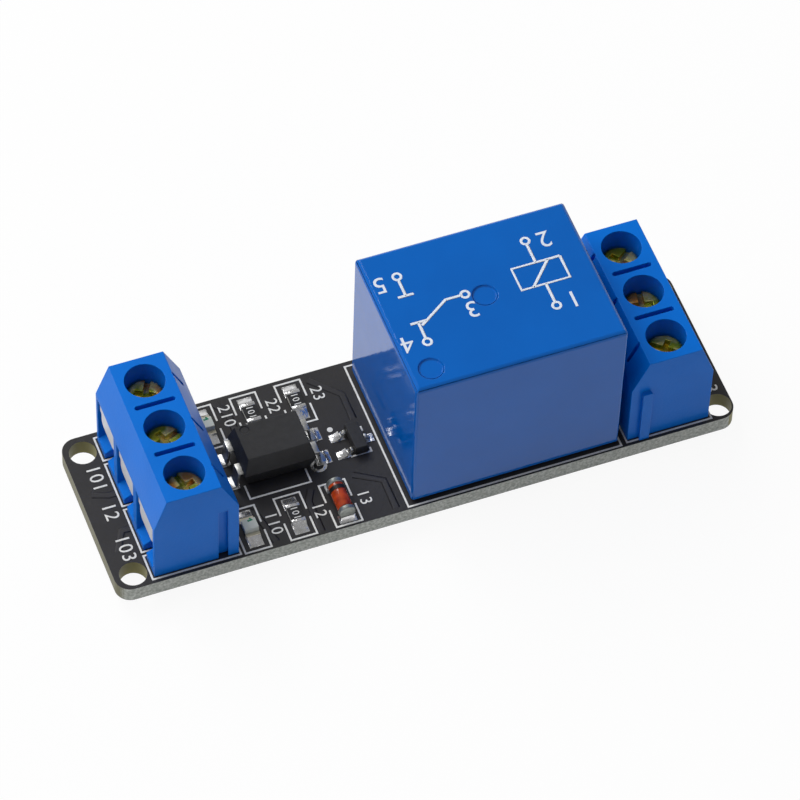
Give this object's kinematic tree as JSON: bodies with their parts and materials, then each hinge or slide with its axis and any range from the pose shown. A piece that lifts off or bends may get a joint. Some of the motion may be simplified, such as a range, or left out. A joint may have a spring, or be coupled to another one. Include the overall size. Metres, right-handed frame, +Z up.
{
  "type": "relay module board",
  "caption": "Narrow single-channel relay module: a black circuit board with a blue cube relay, opto-isolated driver parts and a blue screw terminal at each end.",
  "frame": {"origin": "centre of the four mounting holes, on the underside of the board", "axes": "+X along the board from the input terminal to the output terminal, +Y to the side with the first terminal pole, +Z up through the parts"},
  "size_m": [0.0564, 0.0166, 0.0187],
  "materials": {
    "board_laminate": "glass-epoxy board with a satin black solder mask",
    "printed_ink": "white printed ink",
    "solder": "tinned solder",
    "terminal_plastic": "blue moulded polyamide",
    "tinned_steel": "tin-plated steel strip",
    "screw_steel": "yellow-passivated zinc-plated steel",
    "relay_plastic": "glossy blue moulded cover",
    "black_plastic": "black moulded resin",
    "magnet_iron": "nickel-plated soft iron",
    "winding_copper": "enamelled copper wire",
    "spring_bronze": "phosphor bronze strip",
    "contact_silver": "silver alloy",
    "resistor_ceramic": "ceramic chip with a black coat",
    "lamp_carrier": "white laminate carrier",
    "lamp_gold": "gold-plated copper ends",
    "lamp_lens": "clear cast epoxy",
    "diode_glass": "orange diode glass",
    "diode_metal": "tin-plated end caps",
    "silicon": "silicon crystal with solder studs"
  },
  "bodies": {
    "module": {"circuit_board": "board_laminate", "board_print": "printed_ink", "solder_pads": "solder", "chip_solder": "solder", "pin_solder": "solder", "input_terminal_housing": "terminal_plastic", "output_terminal_housing": "terminal_plastic", "input_clamp_1": "tinned_steel", "input_clamp_2": "tinned_steel", "input_clamp_3": "tinned_steel", "output_clamp_1": "tinned_steel", "output_clamp_2": "tinned_steel", "output_clamp_3": "tinned_steel", "relay_cover": "relay_plastic", "relay_base": "black_plastic", "relay_yoke": "magnet_iron", "relay_core": "magnet_iron", "relay_bobbin": "black_plastic", "relay_winding": "winding_copper", "relay_upper_contact": "contact_silver", "relay_lower_contact": "contact_silver", "relay_common_pin": "tinned_steel", "relay_coil_pins": "tinned_steel", "optocoupler_body": "black_plastic", "optocoupler_leads": "tinned_steel", "resistor_1_body": "resistor_ceramic", "resistor_1_ends": "diode_metal", "resistor_2_body": "resistor_ceramic", "resistor_2_ends": "diode_metal", "resistor_3_body": "resistor_ceramic", "resistor_3_ends": "diode_metal", "lamp_1_base": "lamp_carrier", "lamp_1_ends": "lamp_gold", "lamp_1_lens": "lamp_lens", "lamp_2_base": "lamp_carrier", "lamp_2_ends": "lamp_gold", "lamp_2_lens": "lamp_lens", "diode_glass": "diode_glass", "diode_ends": "diode_metal", "diode_crystal": "silicon", "transistor_body": "black_plastic", "transistor_leads": "tinned_steel"},
    "input_leaf_1": {"input_wire_leaf_1": "tinned_steel"},
    "input_screw_1": {"input_screw_1": "screw_steel"},
    "input_leaf_2": {"input_wire_leaf_2": "tinned_steel"},
    "input_screw_2": {"input_screw_2": "screw_steel"},
    "input_leaf_3": {"input_wire_leaf_3": "tinned_steel"},
    "input_screw_3": {"input_screw_3": "screw_steel"},
    "output_leaf_1": {"output_wire_leaf_1": "tinned_steel"},
    "output_screw_1": {"output_screw_1": "screw_steel"},
    "output_leaf_2": {"output_wire_leaf_2": "tinned_steel"},
    "output_screw_2": {"output_screw_2": "screw_steel"},
    "output_leaf_3": {"output_wire_leaf_3": "tinned_steel"},
    "output_screw_3": {"output_screw_3": "screw_steel"},
    "relay_armature": {"relay_armature": "magnet_iron", "relay_contact_spring": "spring_bronze", "relay_moving_contact": "contact_silver"}
  },
  "joints": [
    {"name": "input_leaf_1_slide", "type": "slide", "parent": "module", "child": "input_leaf_1", "axis": [0, 0, 1], "range_m": [-0.00045, 0.00135]},
    {"name": "input_screw_1_turn", "type": "hinge", "parent": "input_leaf_1", "child": "input_screw_1", "pos_m": [-0.0215, 0.00508, 0.00975], "axis": [0, 0, 1], "range_deg": [-360, 1080]},
    {"name": "input_leaf_2_slide", "type": "slide", "parent": "module", "child": "input_leaf_2", "axis": [0, 0, 1], "range_m": [-0.00045, 0.00135]},
    {"name": "input_screw_2_turn", "type": "hinge", "parent": "input_leaf_2", "child": "input_screw_2", "pos_m": [-0.0215, 0, 0.00975], "axis": [0, 0, 1], "range_deg": [-360, 1080]},
    {"name": "input_leaf_3_slide", "type": "slide", "parent": "module", "child": "input_leaf_3", "axis": [0, 0, 1], "range_m": [-0.00045, 0.00135]},
    {"name": "input_screw_3_turn", "type": "hinge", "parent": "input_leaf_3", "child": "input_screw_3", "pos_m": [-0.0215, -0.00508, 0.00975], "axis": [0, 0, 1], "range_deg": [-360, 1080]},
    {"name": "output_leaf_1_slide", "type": "slide", "parent": "module", "child": "output_leaf_1", "axis": [0, 0, 1], "range_m": [-0.00045, 0.00135]},
    {"name": "output_screw_1_turn", "type": "hinge", "parent": "output_leaf_1", "child": "output_screw_1", "pos_m": [0.0218, 0.00508, 0.00975], "axis": [0, 0, 1], "range_deg": [-360, 1080]},
    {"name": "output_leaf_2_slide", "type": "slide", "parent": "module", "child": "output_leaf_2", "axis": [0, 0, 1], "range_m": [-0.00045, 0.00135]},
    {"name": "output_screw_2_turn", "type": "hinge", "parent": "output_leaf_2", "child": "output_screw_2", "pos_m": [0.0218, 0, 0.00975], "axis": [0, 0, 1], "range_deg": [-360, 1080]},
    {"name": "output_leaf_3_slide", "type": "slide", "parent": "module", "child": "output_leaf_3", "axis": [0, 0, 1], "range_m": [-0.00045, 0.00135]},
    {"name": "output_screw_3_turn", "type": "hinge", "parent": "output_leaf_3", "child": "output_screw_3", "pos_m": [0.0218, -0.00508, 0.00975], "axis": [0, 0, 1], "range_deg": [-360, 1080]},
    {"name": "relay_armature_hinge", "type": "hinge", "parent": "module", "child": "relay_armature", "pos_m": [-0.0004, -0.0002, 0.0134], "axis": [0, 1, 0], "range_deg": [0, 2.2], "deforming": ["relay_contact_spring"]}
  ],
  "couplings": [
    {"joint": "input_screw_1_turn", "follows": "input_leaf_1_slide", "rad_per_m": 13963},
    {"joint": "input_screw_2_turn", "follows": "input_leaf_2_slide", "rad_per_m": 13963},
    {"joint": "input_screw_3_turn", "follows": "input_leaf_3_slide", "rad_per_m": 13963},
    {"joint": "output_screw_1_turn", "follows": "output_leaf_1_slide", "rad_per_m": 13963},
    {"joint": "output_screw_2_turn", "follows": "output_leaf_2_slide", "rad_per_m": 13963},
    {"joint": "output_screw_3_turn", "follows": "output_leaf_3_slide", "rad_per_m": 13963}
  ]
}
